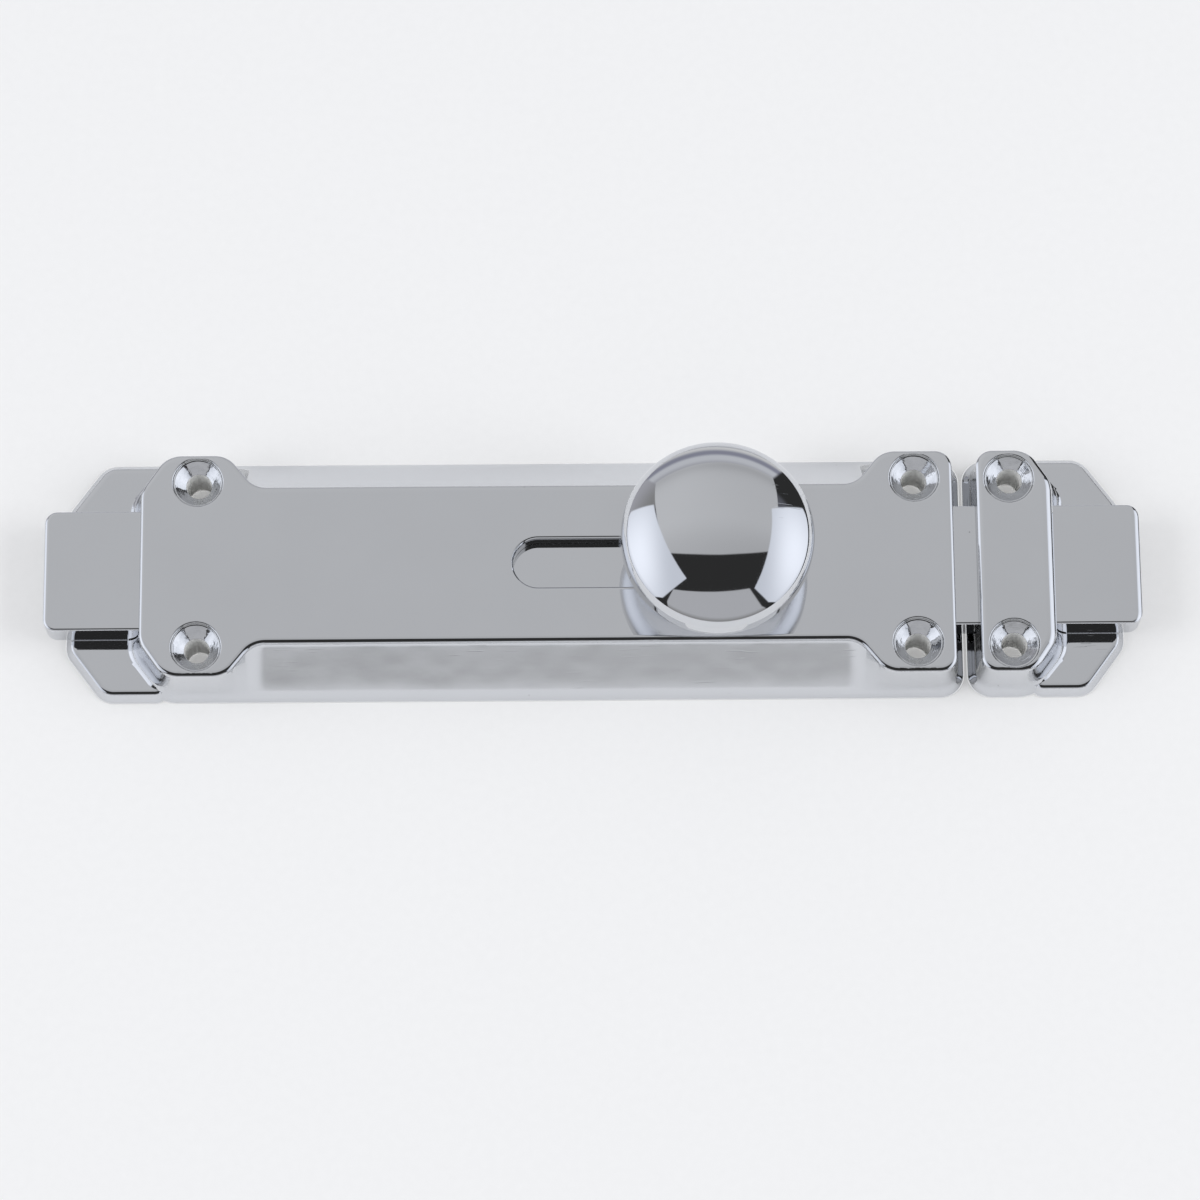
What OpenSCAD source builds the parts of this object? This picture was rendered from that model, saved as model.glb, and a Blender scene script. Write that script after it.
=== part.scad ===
// Surface door bolt: a cast case, a flat bar that slides through it by a round knob,
// and a keeper that takes the bar's nose. The bar is drawn thrown, through the keeper.
// The origin is the centre of the case's four fixing holes, on the face that lies on the door.
// +X runs along the bar towards the keeper and +Z points out of the door. Sizes are in mm.

/* [Bolt bar] */
// Length of the bar
bar_l = 199; // [180:0.5:230]
// Width of the bar
bar_w = 22.4; // [20:0.1:24]
// Thickness of the bar
bar_t = 6.6; // [5:0.1:8]
// How far the bar's tail stands out past the case's foot
tail_out = 3.4; // [1:0.1:10]
// Bevel round the bar's upper and lower edges
bar_bevel = 0.6; // [0.2:0.1:1]
// Rounding of the bar's four corners, seen from above
bar_corner_r = 2.2; // [0.5:0.1:4]

/* [Slide and slot] */
// How far the bar slides back
travel = 32; // [20:0.5:36]
// Place of the knob along the bar when the bar is thrown
knob_x = 28.6; // [24:0.2:36]
// Diameter of the knob's neck, which runs in the slot
neck_d = 8.7; // [6.4:0.1:9]
// Gap round the neck in the slot
neck_gap = 0.15; // [0.05:0.05:0.4]
// Bevel round the slot's upper edge
slot_bevel = 0.65; // [0.2:0.05:1]

/* [Knob] */
// Diameter of the round knob
knob_d = 34.5; // [30:0.5:40]
// Height of the middle of the knob's belt above the plate
knob_rise = 15; // [12.6:0.1:18]
// Height of the upright belt round the knob
knob_belt = 2.4; // [0.4:0.1:4]
// Radius of the knob's domed top
dome_r = 26.3; // [20.5:0.1:40]
// Rounding between the dome and the belt
knob_edge_r = 3.6; // [1:0.1:6]
// Depth of the knob's rounded underside, below its belt
knob_down = 11.6; // [6:0.1:11.8]
// Diameter of the collar under the knob
collar_d = 14; // [10:0.5:18]
// Gap between the collar and the plate
collar_gap = 0.6; // [0.3:0.1:1]
// Diameter of the screw that holds the knob to the bar
knob_screw_d = 4; // [3:0.5:4.5]
// Diameter of that screw's head
knob_head_d = 7.6; // [7:0.1:8]
// Length of that screw above the bar
knob_screw_grip = 14; // [8:0.5:16]

/* [Case] */
// Distance between the fixing holes along the bar
screw_dx = 130; // [110:0.5:140]
// Diameter of a fixing hole
screw_hole_d = 4.6; // [4:0.1:5]
// Diameter of a fixing hole's countersink
sink_d = 9.6; // [8:0.1:9.6]
// Wall between the bar's tunnel and a fixing hole
hole_wall = 1.8; // [1.2:0.1:3]
// Floor under the bar, which is also the height of the pads
floor_t = 2.2; // [2:0.1:3]
// Roof over the bar
roof_t = 2.95; // [2.4:0.05:4]
// From a fixing hole's centre to the long edge of an ear
ear_margin = 5.3; // [5:0.1:8]
// Plate beside the tunnel at the waist
waist_wall = 3.3; // [2.6:0.1:4]
// From the tail fixing holes to the plate's edge
tail_margin = 10.3; // [8:0.1:14]
// From the nose fixing holes to the plate's edge
nose_margin = 6.9; // [5.8:0.1:10]
// Length of the tail ears, past their fixing holes
tail_ear = 5.2; // [0:0.1:6]
// Length of the nose ears, past their fixing holes
nose_ear = 5.8; // [0:0.1:6]
// Length of a shoulder, from an ear to the waist
shoulder_l = 4.9; // [4:0.1:12]
// Length of the bare pad in front of the plate at the tail
pad_l = 14.3; // [10:0.1:20]
// Height of the plate's upright edge over the waist's slopes
lip_h = 1.1; // [0.6:0.1:2]
// Rounding of the plate's edge
edge_r = 0.4; // [0.1:0.05:0.5]
// How far the foot flares out past the walls
flare = 1.4; // [1:0.1:3]
// How far a wall leans out over a pad
pad_lean = 1.7; // [1:0.1:3]
// How far the end wall at the nose leans out
end_lean = 0.7; // [0.3:0.1:1.2]
// How far the long walls lean out
side_lean = 0.45; // [0.1:0.05:0.6]
// Length of the plate's cut corners over the tail pad
case_cut_x = 4.6; // [3:0.1:6]
// Width of the plate's cut corners over the tail pad
case_cut_y = 6.6; // [5:0.1:9]
// Length of a pad's cut corners
pad_cut_x = 6.8; // [4:0.1:9]
// Width of a pad's cut corners
pad_cut_y = 9.2; // [6:0.1:12]
// Rounding of the plate's square corners
corner_r = 3; // [1:0.1:4]
// Rounding of the foot's corners at the top of its flare
foot_r = 2.8; // [0.5:0.1:4]

/* [Keeper] */
// Gap between the case's foot and the keeper's foot
keeper_gap = 0.5; // [0.5:0.1:4]
// From the keeper's fixing holes to its plate's edge at the case
keeper_in_margin = 6.1; // [5.6:0.1:10]
// From the keeper's fixing holes to its plate's edge at the pad
keeper_out_margin = 7.5; // [5.6:0.1:10]
// Length of the keeper's bare pad
keeper_pad_l = 13.5; // [10:0.1:20]
// Length of the cut corners of the keeper's plate
keeper_cut_x = 4; // [3:0.1:5]
// Width of the cut corners of the keeper's plate
keeper_cut_y = 6; // [4:0.1:7]
// How far the keeper's wall at the case leans out
keeper_lean = 0.4; // [0.05:0.05:1]

/* [Back plate and spring] */
// Length of the back plate
back_l = 116; // [104:1:120]
// Thickness of the back plate, which lies flush in the case's back
back_t = 1.2; // [0.8:0.1:1.3]
// Length of the window behind the back plate
window_l = 96; // [90:1:96]
// Width of the window behind the back plate
window_w = 17; // [12:0.5:18]
// Diameter of a back plate screw
plate_screw_d = 2.5; // [2:0.1:2.6]
// Diameter of a back plate screw's head
plate_head_d = 4.6; // [4:0.1:4.8]
// Length of a back plate screw
plate_screw_l = 6; // [4:0.5:7]
// Wall between the bar's tunnel and a back plate screw
plate_screw_wall = 1.5; // [1:0.1:2]
// From a back plate screw to the plate's short edge
plate_screw_inset = 5; // [4:0.5:6]
// Steel between a back plate screw's head and the plate's long edge
plate_rim = 1; // [0.8:0.1:1.2]
// Thickness of the spring leaf
leaf_t = 0.3; // [0.2:0.05:0.4]
// Width of the spring leaf
leaf_w = 7; // [5:0.5:9]
// Length of the spring's riveted tab
leaf_tab = 11; // [10:0.5:14]
// Length of the spring's bow
leaf_bow = 26; // [20:1:32]
// Place of the spring's riveted end, from the window's tail end
leaf_inset = 2; // [1:0.5:6]
// Diameter of a spring rivet
rivet_d = 1.8; // [1.4:0.1:2.2]
// Diameter of a spring rivet's head
rivet_head_d = 3.2; // [2.8:0.1:3.6]
// Height of a spring rivet's head
rivet_head_h = 0.45; // [0.3:0.05:0.5]
// Distance between the two rivets
rivet_pitch = 5; // [4:0.5:6]

/* [Clearances] */
// Gap beside the bar in its tunnel
side_gap = 0.2; // [0.1:0.05:0.4]
// Gap over the bar
top_gap = 0.15; // [0.1:0.05:0.3]
// Gap under the bar
under_gap = 0.1; // [0.05:0.05:0.3]
// Gap between the spring's crown and the bar
leaf_gap = 0.1; // [0.05:0.05:0.3]
// Gap round a screw or rivet in its hole
thread_gap = 0.05; // [0.02:0.01:0.1]
// Gap round the back plate in its rebate
plate_gap = 0.2; // [0.1:0.05:0.4]

/* [Hidden] */
$fn = 64;
// Steps in each rounded corner of an outline
arc_steps = 5;
// Overshoot of every cut past the face that it opens
over = 1;
// How far a casting's walls stand inside the top of its foot's flare
sink_in = 0.05;
// Rounding of the shoulders between ears and waist
shoulder_r = 4.8;
// Rounding of the ends of a cut corner
cut_r = 5;
// Rounding of a pad's cut corners at the top of its flare
pad_r = 3;
// Shares of a wall's lean at the upright edge of the plate and at the cove
lip_share = 0.1;
cove_share = 0.35;
// Level of the cove, as a share of the wall's height below the upright edge
cove_level = 0.4;

// Heights, from the door upwards
bar_z = floor_t + under_gap;
bar_top = bar_z + bar_t;
roof_z = bar_top + top_gap;
case_h = roof_z + roof_t;
lip_z = case_h - lip_h;
cove_z = floor_t + (lip_z - floor_t) * cove_level;

// Widths, from the bar outwards
tunnel_w = bar_w + 2 * side_gap;
screw_dy = tunnel_w + 2 * hole_wall + screw_hole_d;
ear_w = screw_dy + 2 * ear_margin;
waist_w = tunnel_w + 2 * waist_wall;
wall_w = ear_w + 2 * side_lean;
foot_w = wall_w + 2 * flare;
sink_depth = (sink_d - screw_hole_d) / 2;

// Places along the bar
plate_x0 = -screw_dx / 2 - tail_margin;
plate_x1 = screw_dx / 2 + nose_margin;
foot_x0 = plate_x0 - pad_l;
foot_x1 = plate_x1 + end_lean + flare;
tail_ear_x = -screw_dx / 2 + tail_ear;
nose_ear_x = screw_dx / 2 - nose_ear;
bar_x0 = foot_x0 - tail_out;
bar_x1 = bar_x0 + bar_l;
keeper_foot_x0 = foot_x1 + keeper_gap;
keeper_plate_x0 = keeper_foot_x0 + flare + keeper_lean;
keeper_x = keeper_plate_x0 + keeper_in_margin;
keeper_plate_x1 = keeper_x + keeper_out_margin;
keeper_foot_x1 = keeper_plate_x1 + keeper_pad_l;

// How far the rounding of a shoulder reaches along its ear
shoulder_reach = shoulder_r * tan(atan((ear_w - waist_w) / 2 / shoulder_l) / 2);

// Slot, knob and their screw
slot_w = neck_d + 2 * neck_gap;
knob_z = case_h + knob_rise;
knob_head_h = (knob_head_d - knob_screw_d) / 2;

// Back plate, its screws and the spring
plate_screw_y = tunnel_w / 2 + plate_screw_wall + plate_screw_d / 2 + thread_gap;
plate_screw_x = back_l / 2 - plate_screw_inset;
back_w = 2 * (plate_screw_y + plate_head_d / 2 + plate_rim);
leaf_x0 = -window_l / 2 + leaf_inset;
leaf_rise = bar_z - leaf_gap - leaf_t - back_t;

// A polygon's corners rounded: each corner is [x, y, radius], and each gives as many points
function unit(v) = v / norm(v);
function rounded(corners) =
    let (count = len(corners))
    [for (i = [0 : count - 1])
        let (here = [corners[i][0], corners[i][1]],
            last = corners[(i + count - 1) % count],
            next = corners[(i + 1) % count],
            to_last = unit([last[0], last[1]] - here),
            to_next = unit([next[0], next[1]] - here),
            half = acos(to_last * to_next) / 2,
            centre = here + unit(to_last + to_next) * corners[i][2] / sin(half),
            start = here + to_last * corners[i][2] / tan(half) - centre,
            end = here + to_next * corners[i][2] / tan(half) - centre,
            from = atan2(start[1], start[0]),
            turn = (atan2(end[1], end[0]) - from + 540) % 360 - 180)
        for (k = [0 : arc_steps])
            let (angle = from + turn * k / arc_steps)
            centre + corners[i][2] * [cos(angle), sin(angle)]];

// Corners above the middle line, and the same corners with their mirror images below it
function both_sides(corners) =
    concat(corners, [for (i = [len(corners) - 1 : -1 : 0]) [corners[i][0], -corners[i][1], corners[i][2]]]);

// An outline drawn in by a distance, each point along its own normal
function inset(points, depth) =
    let (count = len(points))
    [for (i = [0 : count - 1])
        let (along = unit(points[(i + 1) % count] - points[(i + count - 1) % count]))
        points[i] + depth * [-along[1], along[0]]];

// An outline leaned outwards: its ends by low and high, its long sides by side.
// Its waist and shoulders are widened by a share of what they lack to the ears.
function leaned(points, from, to, low, high, side, widen) =
    let (x_low = min([for (p = points) p[0]]), x_high = max([for (p = points) p[0]]))
    [for (p = points)
        let (to_low = max(0, (from - p[0]) / (from - x_low)),
            to_high = max(0, (p[0] - to) / (x_high - to)),
            on_waist = from < to && p[0] > from - shoulder_reach && p[0] < to + shoulder_reach,
            y = abs(p[1]) * (1 + 2 * side / ear_w),
            wide = on_waist ? y + widen * (wall_w / 2 - y) : y)
        [p[0] - low * to_low + high * to_high, sign(p[1]) * wide]];

// The case's plate, seen from above: a pair of ears at each end and a waist between them
case_plate = rounded(both_sides([
    [plate_x1, ear_w / 2, corner_r],
    [nose_ear_x, ear_w / 2, shoulder_r],
    [nose_ear_x - shoulder_l, waist_w / 2, shoulder_r],
    [tail_ear_x + shoulder_l, waist_w / 2, shoulder_r],
    [tail_ear_x, ear_w / 2, shoulder_r],
    [plate_x0 + case_cut_x, ear_w / 2, cut_r],
    [plate_x0, ear_w / 2 - case_cut_y, cut_r]]));

// The keeper's plate, seen from above
keeper_plate = rounded(both_sides([
    [keeper_plate_x1, ear_w / 2 - keeper_cut_y, cut_r],
    [keeper_plate_x1 - keeper_cut_x, ear_w / 2, cut_r],
    [keeper_plate_x0, ear_w / 2, corner_r]]));

// A foot, seen from above, with cut corners at its pad's end
function foot(x_square, x_pad) =
    let (way = sign(x_square - x_pad),
        corners = both_sides([
            [x_square, foot_w / 2, foot_r + flare],
            [x_pad + way * pad_cut_x, foot_w / 2, pad_r + flare],
            [x_pad, foot_w / 2 - pad_cut_y, pad_r + flare]]),
        outline = rounded(corners))
    way > 0 ? outline : [for (i = [len(outline) - 1 : -1 : 0]) outline[i]];

// Closed solid through rings of points: every ring is [height, points], with as many points in each
module loft(rings) {
    n = len(rings[0][1]);
    levels = len(rings);
    points = [for (ring = rings) for (p = ring[1]) [p[0], p[1], ring[0]]];
    walls = [for (k = [0 : levels - 2]) for (i = [0 : n - 1])
        let (a = k * n + i, b = k * n + (i + 1) % n)
        each [[a, a + n, b], [b, a + n, b + n]]];
    under = [for (i = [0 : n - 1]) i];
    top = [for (i = [n - 1 : -1 : 0]) (levels - 1) * n + i];
    polyhedron(points, concat(walls, [under, top]));
}

// Block over the whole part, from the door up to a height
module up_to(height) {
    translate([foot_x0 - over, -foot_w, 0]) cube([keeper_foot_x1 - foot_x0 + 2 * over, 2 * foot_w, height]);
}

// Foot with a flared skirt, which ends in the level of the pad
module flared_foot(outline) {
    ring = function (z) [z, inset(outline, flare * z / floor_t)];
    intersection() {
        loft([ring(-over), ring(floor_t + over)]);
        up_to(floor_t);
    }
}

// Walls of a casting, from inside its foot up to the bevelled edge of its plate.
// They lean out at the low and the high end of the plate, and between from and to they slope.
module cover(plate, from, to, low, high) {
    slope = function (z) min(1, (lip_z - z) / (lip_z - floor_t));
    ring = function (z, share)
        leaned(plate, from, to, low * share, high * share, side_lean * share, slope(z));
    intersection() {
        loft([
            [floor_t / 2, inset(ring(floor_t, 1), sink_in)],
            [floor_t, inset(ring(floor_t, 1), sink_in)],
            [cove_z, ring(cove_z, cove_share)],
            [lip_z, ring(lip_z, lip_share)],
            [case_h - edge_r, plate],
            [case_h + over, inset(plate, edge_r + over)]]);
        up_to(case_h);
    }
}

// Countersunk holes for the fixing screws, at the given places along the bar
module fixing_holes(places) {
    for (x = places, side = [-1, 1])
        translate([x, side * screw_dy / 2, 0]) {
            translate([0, 0, -over]) cylinder(d = screw_hole_d, h = case_h + 2 * over);
            translate([0, 0, case_h - sink_depth])
                cylinder(d1 = screw_hole_d, d2 = sink_d + 2 * over, h = sink_depth + over);
        }
}

// Tunnel for the bar over a floor, between two places along it
module tunnel(from, to) {
    translate([from, -tunnel_w / 2, floor_t]) cube([to - from, tunnel_w, roof_z - floor_t]);
}

// Rounded slot along X between two centres, from z up to a height
module slot(from, to, width, z, height) {
    for (x = [from, to]) translate([x, 0, z]) cylinder(d = width, h = height);
    translate([from, -width / 2, z]) cube([to - from, width, height]);
}

// Bevel round the upper edge of the slot
module slot_rim() {
    z = case_h - slot_bevel;
    reach = slot_bevel + over;
    for (x = [knob_x - travel, knob_x])
        translate([x, 0, z]) cylinder(r1 = slot_w / 2, r2 = slot_w / 2 + reach, h = reach);
    translate([knob_x, 0, z]) rotate([0, -90, 0])
        linear_extrude(travel)
            polygon([[0, -slot_w / 2], [0, slot_w / 2],
                [reach, slot_w / 2 + reach], [reach, -slot_w / 2 - reach]]);
}

// Places of the back plate's screws
plate_screws = [for (x = [-plate_screw_x, plate_screw_x], y = [-plate_screw_y, plate_screw_y]) [x, y]];

// Cast case: foot, walls, plate, tunnel, slot and the window at its back
module case() {
    color("silver") difference() {
        union() {
            flared_foot(foot(foot_x1, foot_x0));
            cover(case_plate, tail_ear_x, nose_ear_x, pad_lean, end_lean);
        }
        tunnel(plate_x0 - pad_lean - over, foot_x1 + over);
        slot(knob_x - travel, knob_x, slot_w, roof_z - over, roof_t + 2 * over);
        slot_rim();
        fixing_holes([-screw_dx / 2, screw_dx / 2]);
        translate([-window_l / 2, -window_w / 2, -over]) cube([window_l, window_w, floor_t + 2 * over]);
        translate([-back_l / 2 - plate_gap, -back_w / 2 - plate_gap, -over])
            cube([back_l + 2 * plate_gap, back_w + 2 * plate_gap, back_t + over]);
        for (p = plate_screws)
            translate([p[0], p[1], 0])
                cylinder(d = plate_screw_d + 2 * thread_gap, h = plate_screw_l + 2 * thread_gap);
    }
}

// Keeper: the same casting cut short, which the bar's nose runs through
module keeper() {
    color("silver") difference() {
        union() {
            flared_foot(foot(keeper_foot_x0, keeper_foot_x1));
            cover(keeper_plate, keeper_x, keeper_x, keeper_lean, pad_lean);
        }
        tunnel(keeper_foot_x0 - over, keeper_plate_x1 + pad_lean + over);
        fixing_holes([keeper_x]);
    }
}

// Flat bar with bevelled edges and rounded corners, and the knob screw's countersunk hole
module bolt_bar() {
    bevelled = function (length) let (b = bar_bevel) [
        [b, 0], [length - b, 0], [length, b], [length, bar_t - b],
        [length - b, bar_t], [b, bar_t], [0, bar_t - b], [0, b]];
    color("silver") difference() {
        intersection() {
            translate([bar_x0, bar_w / 2, bar_z]) rotate([90, 0, 0]) linear_extrude(bar_w)
                polygon(bevelled(bar_l));
            translate([bar_x0, -bar_w / 2, bar_z]) rotate([90, 0, 90]) linear_extrude(bar_l)
                polygon(bevelled(bar_w));
            translate([0, 0, bar_z]) linear_extrude(bar_t) polygon(rounded([
                [bar_x0, -bar_w / 2, bar_corner_r], [bar_x1, -bar_w / 2, bar_corner_r],
                [bar_x1, bar_w / 2, bar_corner_r], [bar_x0, bar_w / 2, bar_corner_r]]));
        }
        translate([knob_x, 0, 0]) {
            cylinder(d = knob_screw_d + 2 * thread_gap, h = case_h);
            translate([0, 0, bar_z - over])
                cylinder(d1 = knob_head_d + 2 * thread_gap + 2 * over, d2 = knob_screw_d + 2 * thread_gap,
                    h = knob_head_h + over);
        }
    }
}

// Outline of half the knob, from its collar out to the belt and up to the middle of the dome
function knob_outline(steps) =
    let (low_z = knob_z - knob_belt / 2,
        edge_z = knob_z + knob_belt / 2,
        edge_x = knob_d / 2 - knob_edge_r,
        meet = asin(edge_x / (dome_r - knob_edge_r)),
        dome_z = edge_z - (dome_r - knob_edge_r) * cos(meet),
        under = acos(collar_d / knob_d))
    concat(
        [for (k = [0 : steps]) let (angle = under * (1 - k / steps))
            [knob_d / 2 * cos(angle), low_z - knob_down * sin(angle)]],
        [for (k = [0 : steps]) let (angle = 90 - (90 - meet) * k / steps)
            [edge_x + knob_edge_r * sin(angle), edge_z + knob_edge_r * cos(angle)]],
        [for (k = [1 : steps]) let (angle = meet * (1 - k / steps))
            [dome_r * sin(angle), dome_z + dome_r * cos(angle)]]);

// Round knob, its collar and the neck that stands on the bar through the slot
module knob() {
    collar_z = case_h + collar_gap;
    color("silver") translate([knob_x, 0, 0]) difference() {
        rotate_extrude() polygon(concat(
            [[0, bar_top], [neck_d / 2, bar_top], [neck_d / 2, collar_z], [collar_d / 2, collar_z]],
            knob_outline(12)));
        translate([0, 0, bar_top - over])
            cylinder(d = knob_screw_d + 2 * thread_gap, h = knob_screw_grip + over + 2 * thread_gap);
    }
}

// Countersunk screw that holds the knob, from under the bar
module knob_screw() {
    color("gray") translate([knob_x, 0, bar_z]) difference() {
        rotate_extrude() polygon([
            [0, 0], [knob_head_d / 2, 0], [knob_screw_d / 2, knob_head_h],
            [knob_screw_d / 2, bar_t + knob_screw_grip], [0, bar_t + knob_screw_grip]]);
        cross_recess(knob_head_d);
    }
}

// Cross recess in a screw's head, from the head's face at z = 0
module cross_recess(head_d) {
    reach = head_d / 2;
    width = head_d / 8;
    depth = head_d / 7;
    translate([-reach / 2, -width / 2, -over]) cube([reach, width, depth + over]);
    translate([-width / 2, -reach / 2, -over]) cube([width, reach, depth + over]);
}

// Steel plate that closes the window, with its countersunk screw holes and rivet holes
module back_plate() {
    color("slategray") difference() {
        translate([-back_l / 2, -back_w / 2, 0]) cube([back_l, back_w, back_t]);
        for (p = plate_screws)
            translate([p[0], p[1], -over]) {
                cylinder(d = plate_screw_d + 4 * thread_gap, h = back_t + 2 * over);
                cylinder(d1 = plate_head_d + 2 * over + 2 * thread_gap, d2 = plate_screw_d + 2 * thread_gap,
                    h = (plate_head_d - plate_screw_d) / 2 + over);
            }
        for (k = [0, 1])
            translate([rivet_x(k), 0, -over])
                cylinder(d = rivet_d + 2 * thread_gap, h = back_t + 2 * over);
    }
}

// Countersunk screw of the back plate
module back_plate_screw(place) {
    head_h = (plate_head_d - plate_screw_d) / 2;
    color("gray") translate([place[0], place[1], 0]) difference() {
        rotate_extrude() polygon([
            [0, 0], [plate_head_d / 2, 0], [plate_screw_d / 2, head_h],
            [plate_screw_d / 2, plate_screw_l], [0, plate_screw_l]]);
        cross_recess(plate_head_d);
    }
}

// Place of a rivet along the spring's tab
function rivet_x(k) = leaf_x0 + leaf_tab / 2 + (k - 0.5) * rivet_pitch;

// Bowed leaf: a flat tab under the rivets, then a bow whose crown presses on the bar
module friction_spring() {
    steps = 16;
    height = function (t) leaf_rise * (1 - cos(360 * t)) / 2;
    lower = [for (k = [0 : steps]) [leaf_x0 + leaf_tab + leaf_bow * k / steps, back_t + height(k / steps)]];
    upper = [for (k = [steps : -1 : 0]) lower[k] + [0, leaf_t]];
    color("dimgray") difference() {
        translate([0, leaf_w / 2, 0]) rotate([90, 0, 0]) linear_extrude(leaf_w)
            polygon(concat([[leaf_x0, back_t]], lower, upper, [[leaf_x0, back_t + leaf_t]]));
        for (k = [0, 1])
            translate([rivet_x(k), 0, 0]) cylinder(d = rivet_d + 2 * thread_gap, h = case_h);
    }
}

// Rivet through the spring's tab and the back plate
module spring_rivet(k) {
    seat = back_t + leaf_t;
    color("gray") translate([rivet_x(k), 0, 0]) {
        cylinder(d = rivet_d, h = seat);
        translate([0, 0, seat]) cylinder(d1 = rivet_head_d, d2 = rivet_d, h = rivet_head_h);
    }
}

case();
back_plate();
back_plate_screw(plate_screws[0]);  // back_plate_screw_1
back_plate_screw(plate_screws[1]);  // back_plate_screw_2
back_plate_screw(plate_screws[2]);  // back_plate_screw_3
back_plate_screw(plate_screws[3]);  // back_plate_screw_4
friction_spring();
spring_rivet(0);  // spring_rivet_1
spring_rivet(1);  // spring_rivet_2
bolt_bar();
knob();
knob_screw();
keeper();
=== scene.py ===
"""Surface door bolt in bright chrome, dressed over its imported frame.

Sizes are in millimetres, as in the part's own source, until a mesh is finished in metres.
The origin is the centre of the case's fixing holes, on the face that lies on the door.
+X runs along the bar towards the keeper and +Z points out of the door.
"""
import math

import bmesh
import bpy
from mathutils import Matrix, Vector


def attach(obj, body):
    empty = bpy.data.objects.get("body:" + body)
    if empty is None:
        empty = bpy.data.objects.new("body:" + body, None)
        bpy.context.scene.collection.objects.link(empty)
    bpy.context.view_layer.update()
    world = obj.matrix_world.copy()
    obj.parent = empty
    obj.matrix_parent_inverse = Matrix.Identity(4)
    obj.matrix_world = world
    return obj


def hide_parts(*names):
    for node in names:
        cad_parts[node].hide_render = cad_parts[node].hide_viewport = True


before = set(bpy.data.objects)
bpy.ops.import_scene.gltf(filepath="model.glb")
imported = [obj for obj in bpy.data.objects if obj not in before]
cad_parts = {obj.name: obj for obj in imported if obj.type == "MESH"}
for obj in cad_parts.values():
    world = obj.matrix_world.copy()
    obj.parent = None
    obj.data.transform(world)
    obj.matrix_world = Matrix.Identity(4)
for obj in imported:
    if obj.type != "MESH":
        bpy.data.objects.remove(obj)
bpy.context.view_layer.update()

MM = 0.001

# Bolt bar, the gap under it, and how far the bolt slides
BAR_X = (-93.0, 106.0)
BAR_W = 22.4
BAR_T = 6.6
BAR_CORNER_R = 2.2
BAR_GAP = 0.1
TRAVEL = 32.0

# Knob. Its rise is from the plate to the middle of its belt.
KNOB_X = 28.6
KNOB_D = 34.5
KNOB_RISE = 15.0
KNOB_BELT = 2.4
DOME_R = 26.3
KNOB_EDGE_R = 3.6
# Depth of the knob's rounded underside
KNOB_DOWN = 11.6
COLLAR_D = 14.0
COLLAR_GAP = 0.6
COLLAR_ROUND = 0.3
NECK_D = 8.7
NECK_GAP = 0.15
KNOB_SCREW_D = 4.0
KNOB_HEAD_D = 7.6
KNOB_SCREW_GRIP = 14.0
THREAD_GAP = 0.05

# Case and keeper: a span along X is given as its two ends, and a cut corner as (along X, along Y)
CASE_H = 12.0
FLOOR_T = 2.2
ROOF_Z = 9.05
LIP_Z = 10.9
TUNNEL_W = 22.8
SCREW_DX = 130.0
SCREW_DY = 31.0
SCREW_HOLE_D = 4.6
SINK_D = 9.6
EAR_W = 41.6
WAIST_W = 29.4
# Width at the door, and how far a skirt flares out on its way there
FOOT_W = 45.3
FLARE = 1.4
# How far a wall's foot leans out over a pad, at the open ends of case and keeper, and at the sides
PAD_LEAN = 1.7
END_LEAN = 0.7
KEEPER_LEAN = 0.4
SIDE_LEAN = 0.45
# Plates, where the case's ears begin, the shoulders, the corners and the pads
PLATE_X = (-75.3, 71.9)
TAIL_EAR_X = -59.8
NOSE_EAR_X = 59.2
SHOULDER_L = 4.9
SHOULDER_R = 4.8
CUT_R = 5.0
PAD_R = 3.0
CORNER_R = 3.0
CASE_CUT = (4.6, 6.6)
PAD_CUT = (6.8, 9.2)
PAD_X = -89.6
KEEPER_X = 82.4
KEEPER_PLATE_X = (76.3, 89.9)
KEEPER_PAD_X = 103.4
KEEPER_CUT = (4.0, 6.0)
# Window in the case's back, the rebate for the plate over it, and the place of its screws from the
# middle with their holes' radius and depth
WINDOW = (96.0, 17.0)
BACK_PLATE = (116.4, 35.4, 1.2)
BACK_SCREW = (53.0, 14.2, 1.3, 6.1)

# Buffed edges: the radius and the last tilt of the gentle roll at a piece's sides, at its end
# towards the tail and at its end towards the keeper's pad, and then the radius of the tight turn
CASE_EDGE = ((2.0, 28.0), (1.0, 42.0), (1.3, 44.0), 0.2)
KEEPER_EDGE = ((2.0, 28.0), (1.6, 42.0), (2.6, 44.0), 0.2)
BAR_EDGE = ((0.7, 36.0), (1.2, 42.0), (2.2, 42.0), 0.2)
# A pad's edge, the same all round, and how many of its first rings its leaning skirt stands in for
PAD_EDGE = ((1.9, 28.0), 0.2)
PAD_SKIPPED = 3
# Width and height of the rounded rim of the slot and of a countersink
SLOT_RIM = (0.65, 0.6)
SINK_RIM = (0.45, 0.32)
# How far a countersink's rim reaches past the countersink's own width
SINK_REACH = 0.1
# Width of the countersink's ledge under its rim, and the ledge's first and last tilt in degrees
SINK_LEDGE = 0.5
LEDGE_TILTS = (75.0, 15.0)
# The countersink cone's half angle, its offset from the rim, and its rounded edge at the hole
SINK_HALF_ANGLE = 49.0
SINK_SHIFT = 0.22
SINK_EDGE = 0.12
# Directions from a cone's middle to its rim's, in degrees, by the hole's place along X and Y
CASE_DRIFTS = ((-SCREW_DX / 2, 125.0), (SCREW_DX / 2, 95.0))
KEEPER_DRIFTS = ((-SCREW_DY / 2, -115.0), (SCREW_DY / 2, 200.0))
# Height of the concave fillet under the lip, as a share of the slope
LIP_FILLET = 0.03
# How much the slope at the waist hollows out, and the share of the way down at which that starts
SLOPE_HOLLOW = 0.035
HOLLOW_START = 0.5
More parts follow.
